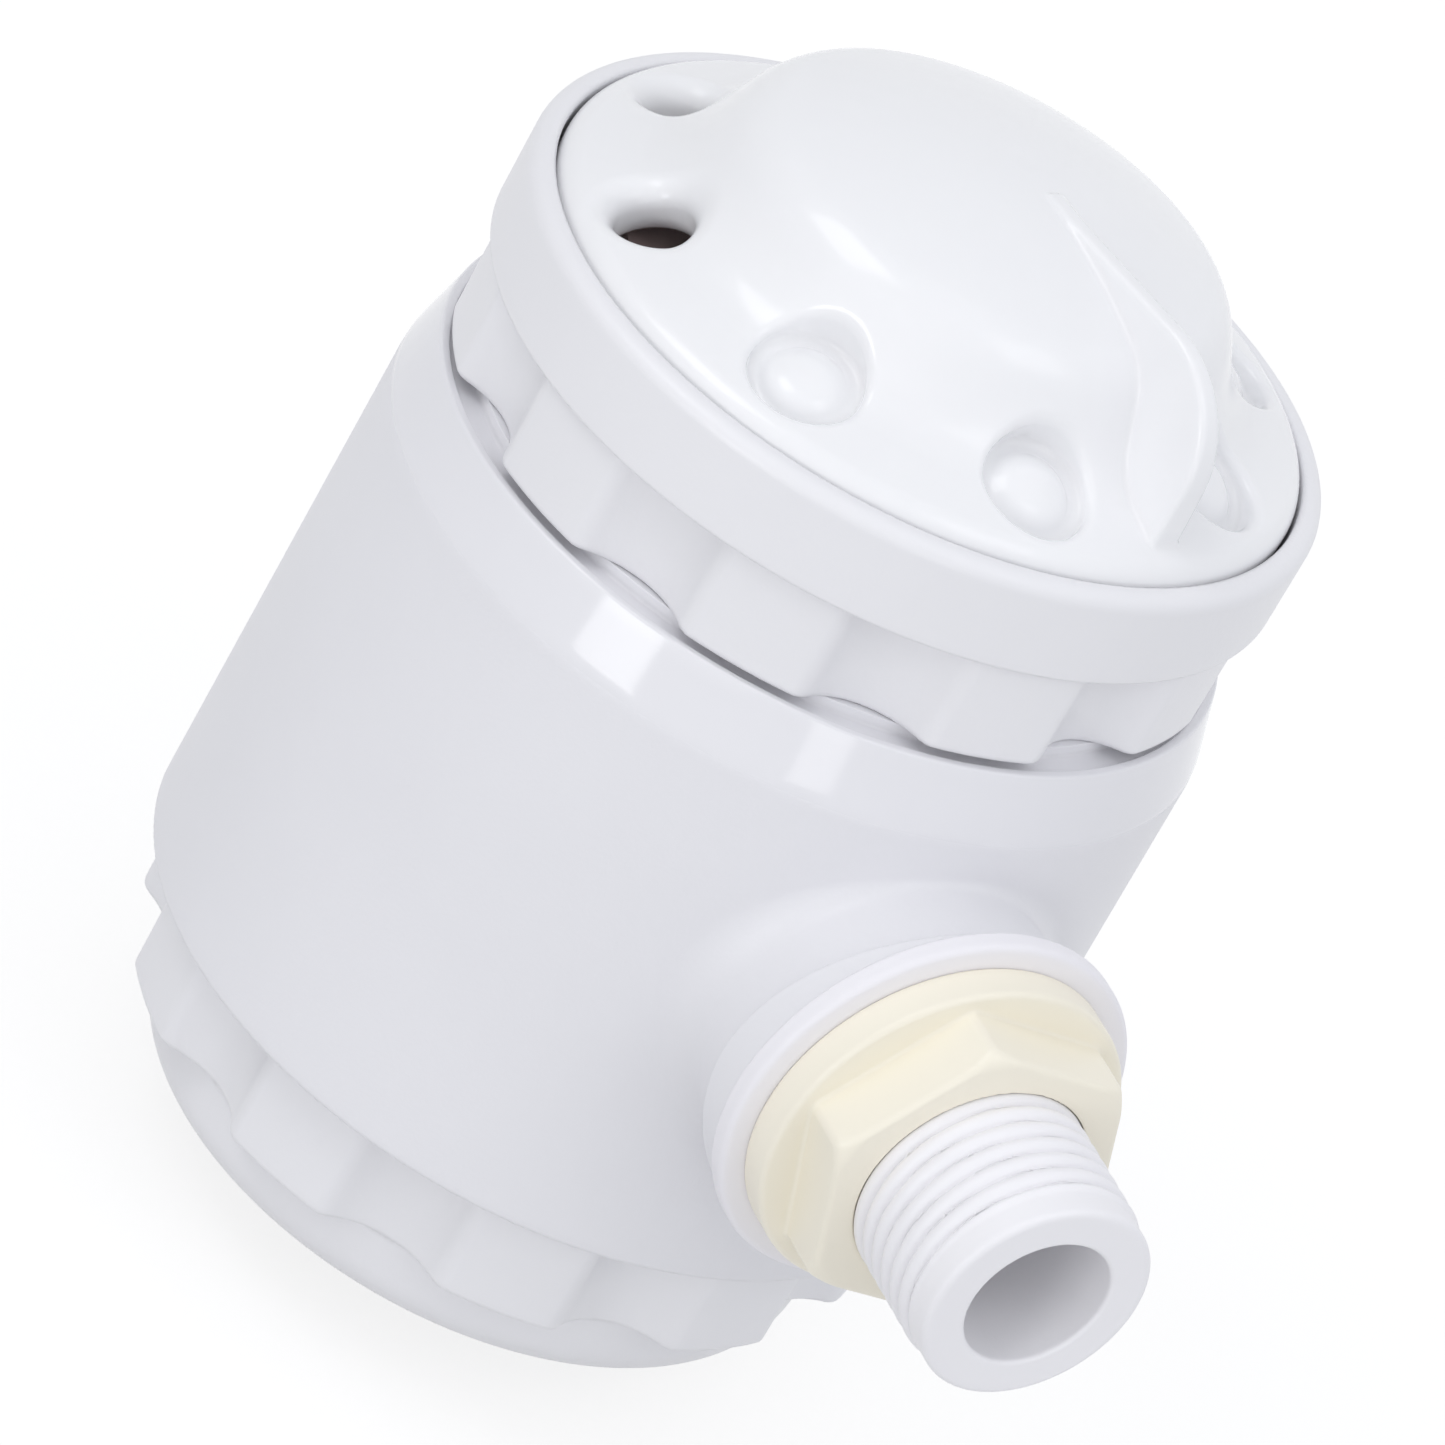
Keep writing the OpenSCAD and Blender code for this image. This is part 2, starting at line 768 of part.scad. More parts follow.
// The blade of the fin, drafted so that its root is thicker than its crest
module fin() {
  root = [for (p = dial_outline(dial_wall / 2)) if (p[0] > fin_start && p[0] < fin_reach) p];
  fin_foot_z = root[len(root) - 1][1] - fin_root_depth;
  root_half = fin_thickness / 2 + (fin_crest_z - fin_foot_z) * tan(fin_draft);
  rotate(fin_angle)
    intersection() {
      translate([0, root_half, 0])
        rotate([90, 0, 0])
          linear_extrude(height = 2 * root_half)
            polygon(concat(
              root,
              [[fin_reach + fin_flare, fin_foot_z]],
              arc(fin_reach - fin_corner, fin_crest_z - fin_corner, fin_corner, 0, 90, 12),
              [[fin_start, fin_crest_z]]
            ));
      rotate([90, 0, 90])
        linear_extrude(height = fin_reach + overlap)
          polygon([
            [-fin_thickness / 2, fin_crest_z + overlap],
            [-root_half, fin_foot_z - overlap],
            [root_half, fin_foot_z - overlap],
            [fin_thickness / 2, fin_crest_z + overlap]
          ]);
    }
}

module dial() {
  color("white")
    difference() {
      union() {
        difference() {
          rotate_extrude()
            polygon(concat(
              [[0, dial_foot_z]],
              dial_outline(0),
              [[dial_radius, dial_foot_z]]
            ));
          dial_cavity();
        }
        translate([0, 0, hub_z])
          cylinder(r = hub_radius, h = dome_top_z - dial_wall / 2 - hub_z);
        translate([0, 0, spindle_end_z])
          cylinder(r = spindle_radius, h = dome_shoulder_z - spindle_end_z);
        fin();
        rotate(stop_rib_start)
          rotate_extrude(angle = stop_rib_sweep)
            translate([stop_rib_inner, dial_foot_z])
              square([dial_rim_inner + overlap - stop_rib_inner, stop_rib_height]);
      }
      steam_stations()
        translate([hole_circle, 0, hole_mid_z])
          rotate([0, station_tilt, 0])
            translate([0, 0, -hole_run_in])
              cylinder(r = hole_radius, h = hole_run_in + hole_run_out);
      dimple_stations()
        translate([dimple_circle, 0, dimple_mid_z])
          rotate([0, station_tilt, 0])
            dimple();
      translate([0, 0, spindle_end_z - overlap])
        cylinder(r = screw_radius + screw_bore_room, h = overlap + screw_length + screw_bore_spare, $fn = 48);
    }
}

// The pocket under the dial shell
module dial_cavity() {
  rotate_extrude()
    polygon(concat(
      [[0, dial_foot_z - overlap]],
      [for (p = dial_outline(dial_wall)) if (p[0] < dial_rim_inner) p],
      [
        [dial_rim_inner, rim_arc_z - rim_ceiling_drop],
        [dial_rim_inner, dial_foot_z - overlap]
      ]
    ));
}

// A shallow round pocket with a bulging button left in it
module dimple() {
  difference() {
    translate([0, 0, -dimple_depth])
      cylinder(r = dimple_radius, h = dimple_run_out);
    translate([0, 0, -dimple_depth - button_sphere + button_bulge])
      sphere(r = button_sphere);
  }
}

module dial_oring() {
  color("black")
    translate([0, 0, web_top_z - oring_pocket_depth + oring_minor])
      rotate_extrude()
        translate([oring_major, 0])
          circle(r = oring_minor, $fn = 32);
}

module dial_spring() {
  color("silver")
    rotate_extrude()
      polygon([
        [spring_inner, spindle_end_z],
        [spring_inner + spring_wall, spindle_end_z],
        [spring_outer, web_z - spring_wall],
        [spring_outer, web_z],
        [spring_outer - spring_wall, web_z],
        [spring_inner, spindle_end_z + spring_wall]
      ]);
}

module dial_washer() {
  color("silver")
    tube(screw_radius + running_clearance, washer_radius, spindle_end_z - washer_thickness, spindle_end_z);
}

module dial_screw() {
  head_z = spindle_end_z - washer_thickness - screw_head_height;
  color("silver")
    difference() {
      union() {
        translate([0, 0, head_z])
          cylinder(r1 = screw_head_radius - screw_head_taper, r2 = screw_head_radius, h = screw_head_height);
        translate([0, 0, head_z])
          cylinder(r = screw_radius, h = screw_head_height + washer_thickness + screw_length);
      }
      translate([0, 0, head_z - overlap])
        cylinder(r = screw_recess_radius, h = screw_head_height / 2 + overlap, $fn = 6);
    }
}

body();
bottom_collar();
top_collar();
inlet_nipple();
inner_seal();
boss_gasket();
flange_nut();
bottom_gasket();
bottom_cap();
basket();
basket_screen();
basket_lid();
top_gasket();
top_cap();
port_plate();
stop_pin();
glide_ring();
shutter_disc();
dial();
dial_oring();
dial_spring();
dial_washer();
dial_screw();
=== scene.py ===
import json
import math

import bmesh
import bpy
import numpy as np
from mathutils import Matrix, Vector


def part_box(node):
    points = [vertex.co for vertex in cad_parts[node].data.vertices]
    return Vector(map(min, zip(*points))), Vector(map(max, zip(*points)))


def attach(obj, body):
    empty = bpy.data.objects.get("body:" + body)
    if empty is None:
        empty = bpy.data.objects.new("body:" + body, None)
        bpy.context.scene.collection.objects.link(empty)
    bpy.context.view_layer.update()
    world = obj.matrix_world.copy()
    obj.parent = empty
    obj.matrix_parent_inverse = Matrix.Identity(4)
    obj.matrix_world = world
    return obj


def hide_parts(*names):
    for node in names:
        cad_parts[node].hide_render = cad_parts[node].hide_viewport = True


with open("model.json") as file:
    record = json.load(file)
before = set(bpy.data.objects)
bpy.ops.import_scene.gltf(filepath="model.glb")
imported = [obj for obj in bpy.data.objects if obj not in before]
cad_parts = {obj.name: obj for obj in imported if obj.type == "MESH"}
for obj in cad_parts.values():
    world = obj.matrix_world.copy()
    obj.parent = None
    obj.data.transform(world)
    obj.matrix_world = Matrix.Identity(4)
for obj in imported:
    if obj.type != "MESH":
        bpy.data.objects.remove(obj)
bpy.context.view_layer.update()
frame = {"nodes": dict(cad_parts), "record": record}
NODES = frame["nodes"]
MM = 0.001


def add(name, data):
    """A new object in the scene."""
    obj = bpy.data.objects.new(name, data)
    bpy.context.scene.collection.objects.link(obj)
    return obj


# ---------------------------------------------------------------- camera
CAMERA_AT = Vector((0.485922, -0.421771, 0.414596))
CAMERA_RIGHT = Vector((0.38535579, 0.81543184, 0.43193962))
CAMERA_DOWN = Vector((0.64967832, 0.09266111, -0.75454092))
CAMERA_AHEAD = Vector((-0.6553007, 0.57138852, -0.49406089))


def make_camera():
    data = bpy.data.cameras.new("camera")
    cam = add("camera", data)
    turn = Matrix((CAMERA_RIGHT, -CAMERA_DOWN, -CAMERA_AHEAD)).transposed()
    cam.matrix_world = Matrix.Translation(CAMERA_AT) @ turn.to_4x4()
    data.sensor_width = 36.0
    data.lens = 214.47
    data.clip_start, data.clip_end = 0.01, 20.0
    bpy.context.scene.camera = cam


make_camera()


# ---------------------------------------------------------------- distance fields, in millimetres
def round_union(a, b, k):
    return np.maximum(k, np.minimum(a, b)) - np.hypot(np.maximum(k - a, 0), np.maximum(k - b, 0))


def round_both(a, b, k):
    return np.minimum(-k, np.maximum(a, b)) + np.hypot(np.maximum(k + a, 0), np.maximum(k + b, 0))


def round_cut(a, b, k):
    return round_both(a, -b, k)


# The grid is sampled coarsely in blocks first, and finely only in the blocks near the surface.
BLOCK = 6
# The four cells round a grid edge along each axis, in order round the edge.
AROUND = (
    ((0, -1, -1), (0, 0, -1), (0, 0, 0), (0, -1, 0)),
    ((-1, 0, -1), (-1, 0, 0), (0, 0, 0), (0, 0, -1)),
    ((-1, -1, 0), (0, -1, 0), (0, 0, 0), (-1, 0, 0)),
)
# Keeps grid planes off the flat faces of a shape.
GRID_SHIFT = np.array((0.137, 0.213, 0.371))


def spread(blocks):
    """Each block's value, repeated for every grid point of the block."""
    for axis in range(3):
        blocks = np.repeat(blocks, BLOCK, axis)
    return blocks


def sample(field, low, high, step):
    """The field at grid points near its surface, and a value of the right sign elsewhere."""
    blocks = (np.ceil((high - low) / step).astype(int) + BLOCK) // BLOCK
    centres = [low[i] + (np.arange(blocks[i]) + 0.5) * BLOCK * step for i in range(3)]
    coarse = field(*np.meshgrid(*centres, indexing="ij"))
    count = blocks * BLOCK + 1
    near = np.zeros(count, bool)
    near[:-1, :-1, :-1] = spread(np.abs(coarse) < BLOCK * step * 1.9)
    for axis in range(3):
        near |= np.roll(near, 1, axis)
    values = np.full(count, 9.0, np.float32)
    values[:-1, :-1, :-1] = spread(coarse)
    values[-1], values[:, -1], values[:, :, -1] = values[-2], values[:, -2], values[:, :, -2]
    values[near] = field(*(low + np.argwhere(near) * step).T)
    return values, near


def surface_net(values, near):
    """Points in grid steps, and one quad round each grid edge that the surface crosses."""
    inside = values < 0
    cells = np.array(values.shape) - 1
    total = int(np.prod(cells))
    summed = np.zeros((total, 3))
    hits = np.zeros(total)
    quads = []
    for axis in range(3):
        one, two = [slice(None)] * 3, [slice(None)] * 3
        one[axis], two[axis] = slice(0, -1), slice(1, None)
        one, two = tuple(one), tuple(two)
        cross = np.argwhere((inside[one] != inside[two]) & (near[one] | near[two]))
        cross = cross[((cross > 0) & (cross < cells)).all(1)]
        after = cross.copy()
        after[:, axis] += 1
        start, end = values[tuple(cross.T)], values[tuple(after.T)]
        where = cross.astype(float)
        where[:, axis] += start / (start - end)
        corners = []
        for shift in AROUND[axis]:
            flat = np.ravel_multi_index(tuple((cross + np.array(shift)).T), tuple(cells))
            corners.append(flat)
            for k in range(3):
                summed[:, k] += np.bincount(flat, where[:, k], total)
            hits += np.bincount(flat, minlength=total)
        quad = np.stack(corners, 1)
        flip = start > 0
        quad[flip] = quad[flip][:, ::-1]
        quads.append(quad)
    used = np.flatnonzero(hits)
    place = np.full(total, -1)
    place[used] = np.arange(len(used))
    return summed[used] / hits[used, None], place[np.concatenate(quads)]


def slope(field, points, e):
    """The field's gradient, from differences over a distance e to each side."""
    x, y, z = points.T
    rise = [
        field(x + e, y, z) - field(x - e, y, z),
        field(x, y + e, z) - field(x, y - e, z),
        field(x, y, z + e) - field(x, y, z - e),
    ]
    return np.stack(rise, 1) / (2 * e)


def from_field(name, field, low, high, step):
    """A mesh of the surface field(x, y, z) = 0, with its normals taken from the field."""
    low, high = np.array(low, float), np.array(high, float)
    low = low - step * GRID_SHIFT
    places, quads = surface_net(*sample(field, low, high, step))
    v = low + places * step
    for _ in range(3):
        g = slope(field, v, 0.01)
        move = g * (field(*v.T) / np.maximum((g * g).sum(1), 0.2))[:, None]
        size = np.linalg.norm(move, axis=1, keepdims=True)
        v = v - move * np.minimum(1, 0.4 * step / np.maximum(size, 1e-9))
    normals = slope(field, v, 0.4 * step)
    normals /= np.maximum(np.linalg.norm(normals, axis=1, keepdims=True), 1e-9)
    mesh = bpy.data.meshes.new(name)
    mesh.vertices.add(len(v))
    mesh.vertices.foreach_set("co", (v * MM).ravel())
    mesh.loops.add(quads.size)
    mesh.loops.foreach_set("vertex_index", quads.ravel())
    mesh.polygons.add(len(quads))
    mesh.polygons.foreach_set("loop_start", np.arange(0, quads.size, 4))
    mesh.polygons.foreach_set("use_smooth", np.ones(len(quads), bool))
    mesh.update(calc_edges=True)
    mesh.validate()
    mesh.normals_split_custom_set_from_vertices(normals)
    return add(name, mesh)


# ---------------------------------------------------------------- sizes read from the frame
def low_mm(node):
    return np.array(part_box(node)[0]) * 1000


def high_mm(node):
    return np.array(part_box(node)[1]) * 1000


MOUNTS = {m["name"]: m for m in frame["record"]["mounts"]}
INLET_Z = MOUNTS["inlet_bore"]["pos_m"][2] * 1000
INLET_BORE = MOUNTS["inlet_bore"]["dims"]["r_mm"]
THREAD_R = MOUNTS["inlet_thread"]["dims"]["r_mm"]
FOOT_Z = low_mm("body")[2]
RIM_Z = high_mm("body")[2]
BOSS_X = high_mm("body")[0]
TIP_X = high_mm("inlet_nipple")[0]
GASKET_X = high_mm("boss_gasket")[0]
NUT_X = high_mm("flange_nut")[0]
CUP_TOP = low_mm("bottom_gasket")[2]
TOP_GRIP_Z = low_mm("top_cap")[2]
LIP_Z = high_mm("top_cap")[2]
WEB_TOP = low_mm("shutter_disc")[2]
DOME_Z = high_mm("dial")[2]
DIAL_R = high_mm("dial")[0]


# ---------------------------------------------------------------- body
# The barrel's wall, its bevel, and the bore that it is open along.
BODY_FOOT_R = 38.8
WALL_DRAFT = 0.01122
BEVEL_R = 38.25
BEVEL_HEIGHT = 6.4
BEVEL_RUN = 1.7
BEVEL_SLANT = 6.622
BODY_BORE_R = 34.95
# rim_seat takes over from the barrel this far under the rim.
RIM_JOIN = 0.8
# The boss, and the hole through it for the inlet.
BOSS_NECK_R = 15.9
BOSS_START_X = 25
INLET_HOLE_R = 10.83
# The fillet between boss and barrel is wider at the sides than above and below.
BOSS_FILLET = 0.8
BOSS_SIDE_FILLET = 2.4
# The flat pad inside the barrel, behind the boss.
PAD_R = 17.0
PAD_X = 30.9
PAD_OUTER_R = 36.5


def body_field(x, y, z):
    r = np.hypot(x, y)
    side = r - (BODY_FOOT_R - (z - FOOT_Z) * WALL_DRAFT)
    bevel = ((r - BEVEL_R) * BEVEL_HEIGHT + (z - (RIM_Z - BEVEL_HEIGHT)) * BEVEL_RUN) / BEVEL_SLANT
    d = round_both(side, bevel, 0.15)
    d = round_both(d, FOOT_Z - z, 0.6)
    across = np.hypot(y, z - INLET_Z)
    neck = np.maximum(across - BOSS_NECK_R, np.maximum(x - (BOSS_X - 0.2), BOSS_START_X - x))
    aside = (y / np.maximum(across, 0.1)) ** 2
    d = round_union(d, neck, BOSS_FILLET + BOSS_SIDE_FILLET * aside)
    d = round_cut(d, r - BODY_BORE_R, 0.25)
    d = np.maximum(d, z - (RIM_Z - RIM_JOIN))
    pad = np.maximum(across - PAD_R, np.maximum(PAD_X - x, r - PAD_OUTER_R))
    d = np.minimum(d, pad)
    return np.maximum(d, -(np.maximum(across - INLET_HOLE_R, 20 - x)))


body = from_field("body_shell", body_field, (-40, -40, FOOT_Z - 1), (48, 40, RIM_Z + 1), 0.5)
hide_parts("body")
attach(body, "canister")


def strip(work, one, two):
    """Faces between two closed rows of vertices."""
    for k in range(len(one)):
        j = (k + 1) % len(one)
        work.faces.new((one[k], two[k], two[j], one[j])).smooth = True


def turned(work, section, a, z=0.0):
    """A row of vertices from a section of radius and height, at an angle about the axis."""
    return [
        work.verts.new((r * math.cos(a) * MM, r * math.sin(a) * MM, (z + h) * MM))
        for r, h in section
    ]


def finished(name, work, sharp_deg):
    """The object that a bmesh makes, its edges sharp from an angle."""
    bmesh.ops.recalc_face_normals(work, faces=work.faces)
    mesh = bpy.data.meshes.new(name)
    work.to_mesh(mesh)
    work.free()
    mesh.set_sharp_from_angle(angle=math.radians(sharp_deg))
    return add(name, mesh)


def revolve(name, outline, turns):
    """A ring turned from a closed outline of radius and height, in millimetres."""
    work = bmesh.new()
    rings = [turned(work, outline, 2 * math.pi * i / turns) for i in range(turns)]
    for i in range(turns):
        strip(work, rings[i], rings[(i + 1) % turns])
    return finished(name, work, 40)


def bend(r, z, radius, first, last, steps=5):
    """Points of an arc, its angles in degrees from straight out."""
    turns = [math.radians(first + (last - first) * i / steps) for i in range(steps + 1)]
    return [(r + radius * math.cos(t), z + radius * math.sin(t)) for t in turns]


def seat_outline():
    """The rim with its ledge, and the low step that the top cap screws down to."""
    step, ledge, top = 33.35, RIM_Z - 0.6, RIM_Z + 0.47
    bore, rim_inner, rim_outer = 31.1, 35.7, 36.321
    line = [(bore, top)] + bend(step - 0.08, top - 0.08, 0.08, 90, 0)
    line += bend(step + 0.3, ledge + 0.3, 0.3, 180, 270)
    line += bend(rim_inner - 0.15, ledge + 0.15, 0.15, 270, 360)
    line += bend(rim_inner + 0.15, RIM_Z - 0.15, 0.15, 180, 90)
    line += bend(rim_outer, RIM_Z - 0.3, 0.3, 90, 14.9)
    line += [(36.885, RIM_Z - 1.25), (36.0, RIM_Z - 1.5), (35.2, RIM_Z - 1.7)]
    return line + [(bore, RIM_Z - 1.7)]


seat = revolve("rim_seat", seat_outline(), 360)
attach(seat, "canister")

NECK_R = 30.2
NECK_PITCH = 3.0
RIDGE_HEIGHT = 0.72


def thread_ridge(name, low_z, turns):
    """The helical ridge of a neck's thread, fading into the neck at both ends."""
    work = bmesh.new()
    count = int(turns * 120)
    rows = []
    for i in range(count + 1):
        a = 2 * math.pi * turns * i / count
        z = low_z + NECK_PITCH * a / (2 * math.pi)
        tall = 0.05 + RIDGE_HEIGHT * min(1, i / 12, (count - i) / 12)
        section = [(NECK_R - 0.1, -0.9), (NECK_R, -0.75)]
        section += [(NECK_R + tall * 0.85, -0.38), (NECK_R + tall, -0.2)]
        section += [(r, -h) for r, h in reversed(section)]
        rows.append(turned(work, section, a, z))
    for one, two in zip(rows, rows[1:]):
        strip(work, one, two)
    work.faces.new(rows[0])
    work.faces.new(list(reversed(rows[-1])))
    obj = finished(name, work, 50)
    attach(obj, "canister")
    return obj


upper_thread = thread_ridge("upper_thread", RIM_Z + 1.6, 1.8)
lower_thread = thread_ridge("lower_thread", CUP_TOP + 3.1, 2.0)

COLLAR_R = 17.8


def collar_field(x, y, z):
    """The lip at the boss's end: its rear edge follows a cylinder about the canister's axis."""
    r = np.hypot(x, y)
    across = np.hypot(y, z - INLET_Z)
    d = round_both(across - COLLAR_R, (BOSS_X - 0.5) - r, 0.25)
    d = round_both(d, x - BOSS_X, 0.3)
    d = np.maximum(d, 36 - x)
    return np.maximum(d, INLET_HOLE_R - across)


collar = from_field(
    "boss_collar", collar_field, (39, -19, INLET_Z - 19), (BOSS_X + 1, 19, INLET_Z + 19), 0.22
)
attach(collar, "canister")


# ---------------------------------------------------------------- caps
LOBES = 10
GRIP_R = 36.0
GRIP_DEPTH = 3.0
GRIP_ROUNDING = 0.9
CAP_BORE_R = 31.35
RING_R = 36.9
RING_HEIGHT = 8.85
WEB_R = 30.05
BOTTOM_GRIP = 10.0
CUP_R = 32.2
CUP_BORE_R = 28.0
CUP_FLOOR = 2.6


def lobes(x, y, first_deg):
    """Distance to the scalloped outline of a grip ring."""
    pitch = 2 * math.pi / LOBES
    half = pitch * 0.25
    valley = GRIP_R - GRIP_DEPTH
    chord = GRIP_R * math.sin(half)
    sag = GRIP_R * math.cos(half) - valley
    hollow = (chord * chord + sag * sag) / (2 * sag)
    a = np.arctan2(y, x) - math.radians(first_deg) - pitch / 2
    a = a - np.round(a / pitch) * pitch
    r = np.hypot(x, y)
    cut = hollow - np.hypot(r * np.cos(a) - (valley + hollow), r * np.sin(a))
    return round_both(r - GRIP_R, cut, GRIP_ROUNDING)


def top_cap_field(x, y, z):
    r = np.hypot(x, y)
    ring_z = LIP_Z - RING_HEIGHT
    grip = round_both(lobes(x, y, -4.5), TOP_GRIP_Z - 0.5 - z, 0.7)
    grip = np.maximum(grip, z - ring_z - 1)
    ring = round_both(r - RING_R, z - LIP_Z, 1.4)
    ring = round_both(ring, ring_z - z, 0.4)
    well = np.maximum(r - (DIAL_R + 0.3), WEB_TOP - z)
    ring = round_cut(ring, well, 0.3)
    d = np.minimum(grip, ring)
    bore = np.maximum(r - CAP_BORE_R, z - (WEB_TOP - 1.5))
    d = np.maximum(d, -bore)
    return np.maximum(d, WEB_R - r)


def bottom_cap_field(x, y, z):
    r = np.hypot(x, y)
    grip = round_both(lobes(x, y, 10.2), z - (CUP_TOP + BOTTOM_GRIP), 0.6)
    grip = round_both(grip, CUP_TOP - z, 0.7)
    cup = round_both(r - CUP_R, -z, 3.5)
    cup = np.maximum(cup, z - CUP_TOP - 1)
    d = round_union(grip, cup, 0.5)
    d = np.maximum(d, -np.maximum(r - CAP_BORE_R, CUP_TOP - z))
    return np.maximum(d, -np.maximum(r - CUP_BORE_R, CUP_FLOOR - z))


top_cap = from_field(
    "top_cap_skin", top_cap_field, (-38, -38, TOP_GRIP_Z - 1), (38, 38, LIP_Z + 1), 0.32
)
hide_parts("top_cap")
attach(top_cap, "top_cover")
bottom_cap = from_field(
    "bottom_cap_skin", bottom_cap_field, (-38, -38, -1), (38, 38, CUP_TOP + 11), 0.45
)
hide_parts("bottom_cap")
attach(bottom_cap, "bottom_cover")


# ---------------------------------------------------------------- dial
FIN_DEG = 12.5
FIN_REACH = 31.5
FIN_START = 4.5
FIN_HALF = 0.9
FIN_DRAFT_DEG = 3
SHOULDER_R = 5
SHOULDER = (18.9, LIP_Z + 7.75)
FOOT_C = (28.5, LIP_Z + 7.65)
FOOT_FILLET = 4.6
DOME_R = 23.9
APRON_DEG = 18
SHELL = 3.0
HOLLOW_R = 31.6
# Holes and dimples are tilted away from the axis, four of each, 45 degrees apart.
STATION_DEG = 27
HOLE_CIRCLE, HOLE_SUNK = 27.8, 5.6
HOLE_R = 3.4
HOLE_ROUNDING = 2.4
HOLE_COLLAR_R = 5.9
HOLE_COLLAR_END = -4.4
DIMPLE_CIRCLE, DIMPLE_SUNK = 27.4, 4.5
DIMPLE_R = 4.9
DIMPLE_DEPTH = 1.5
BUTTON_R = 5.2
BUTTON_SUNK = 5.1


def dome_profile(r, z):
    """Distances to the revolved dome and to the apron round it."""
    drop = DOME_Z - SHOULDER[1]
    crown = (SHOULDER[0] ** 2 + drop**2 - SHOULDER_R**2) / (2 * (drop - SHOULDER_R))
    cap = np.hypot(r, z - (DOME_Z - crown)) - crown
    dome = round_both(cap, r - DOME_R, 4.2)
    lean = math.radians(APRON_DEG)
    low = FOOT_C[1] - FOOT_FILLET / math.cos(lean)
    apron = (z - low) * math.cos(lean) + (r - FOOT_C[0]) * math.sin(lean)
    return dome, apron


def station(x, y, z, turn, circle, sunk):
    """Distance from one tilted station's axis, and the place along that axis."""
    a, t = math.radians(FIN_DEG + turn), math.radians(STATION_DEG)
    out, cross = x * math.cos(a) + y * math.sin(a), -x * math.sin(a) + y * math.cos(a)
    dx, dz = out - circle, z - (FOOT_C[1] - sunk)
    aside = dx * math.cos(t) - dz * math.sin(t)
    return np.hypot(aside, cross), dx * math.sin(t) + dz * math.cos(t)


def fin_field(x, y, z):
    """The drafted grip fin."""
    a = math.radians(FIN_DEG)
    out = x * math.cos(a) + y * math.sin(a)
    cross = -x * math.sin(a) + y * math.cos(a)
    crest = DOME_Z - 0.12
    thick = FIN_HALF + (crest - z) * math.tan(math.radians(FIN_DRAFT_DEG))
    edge = round_both(z - crest, out - (FIN_REACH + (crest - z) * 0.02), 9.5)
    edge = np.maximum(edge, FIN_START - out)
    return round_both(np.abs(cross) - thick, edge, 0.5)


def dial_field(x, y, z):
    r = np.hypot(x, y)
    dome, apron = dome_profile(r, z)
    skirt = round_both(apron, r - DIAL_R, 1.6)
    d = round_union(dome, skirt, FOOT_FILLET)
    d = round_union(d, fin_field(x, y, z), 0.45)
    hollow = round_union(dome + SHELL, skirt + SHELL, FOOT_FILLET)
    hollow = np.maximum(hollow, r - HOLLOW_R)
    holes = [
        station(x, y, z, 180 + 45 * (k - 1.5), HOLE_CIRCLE, HOLE_SUNK) for k in range(4)
    ]
    for rad, along in holes:
        hollow = np.maximum(hollow, -np.maximum(rad - HOLE_COLLAR_R, HOLE_COLLAR_END - along))
    d = np.maximum(d, -hollow)
    for rad, along in holes:
        d = round_cut(d, np.maximum(rad - HOLE_R, -along - 8), HOLE_ROUNDING)
    for k in range(4):
        rad, along = station(x, y, z, 45 * (k - 1.5), DIMPLE_CIRCLE, DIMPLE_SUNK)
        pocket = round_both(rad - DIMPLE_R, -DIMPLE_DEPTH - along, 0.6)
        button = np.sqrt(rad**2 + (along + BUTTON_SUNK) ** 2) - BUTTON_R
        pocket = round_cut(pocket, button, 0.25)
        d = round_cut(d, pocket, 0.8)
    d = np.maximum(d, WEB_TOP + 0.6 - z)
    return np.maximum(d, z - (DOME_Z - 0.02))


dial = from_field("dial_shell", dial_field, (-36, -36, WEB_TOP), (36, 36, DOME_Z + 1), 0.3)
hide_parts("dial")
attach(dial, "dial_unit")


# ---------------------------------------------------------------- inlet
INLET_PITCH = 1.814
THREAD_DEPTH = 0.85
# How far round the crests' circular section goes: 1 is a half circle with upright sides.
CREST_SHARE = 0.97
FLANGE_R = 16.3
FLANGE_THICK = 3.4
HEX_FLAT = 13.0
HEX_DEG = 180 - 10.9
HEX_CHAMFER_R = 14.0
GASKET_R = 18.4
PLAIN_TIP = 2.8
HEAD_R = 14.6
HEAD_X = (26.5, 29.5)


def thread_wall(x, y, z):
    """Distance to the helical thread's flank, shared by the inlet and the nut."""
    across = np.hypot(y, z - INLET_Z)
    turn = np.arctan2(z - INLET_Z, y) / (2 * math.pi)
    phase = (x / INLET_PITCH - turn) % 1.0
    rise = np.abs(phase - 0.5) * 2
    flat = 1 - math.sqrt(1 - CREST_SHARE)
    depth = THREAD_DEPTH * (1 - np.sqrt(1 - CREST_SHARE * rise**2)) / flat
    return (across - THREAD_R + depth) * 0.8


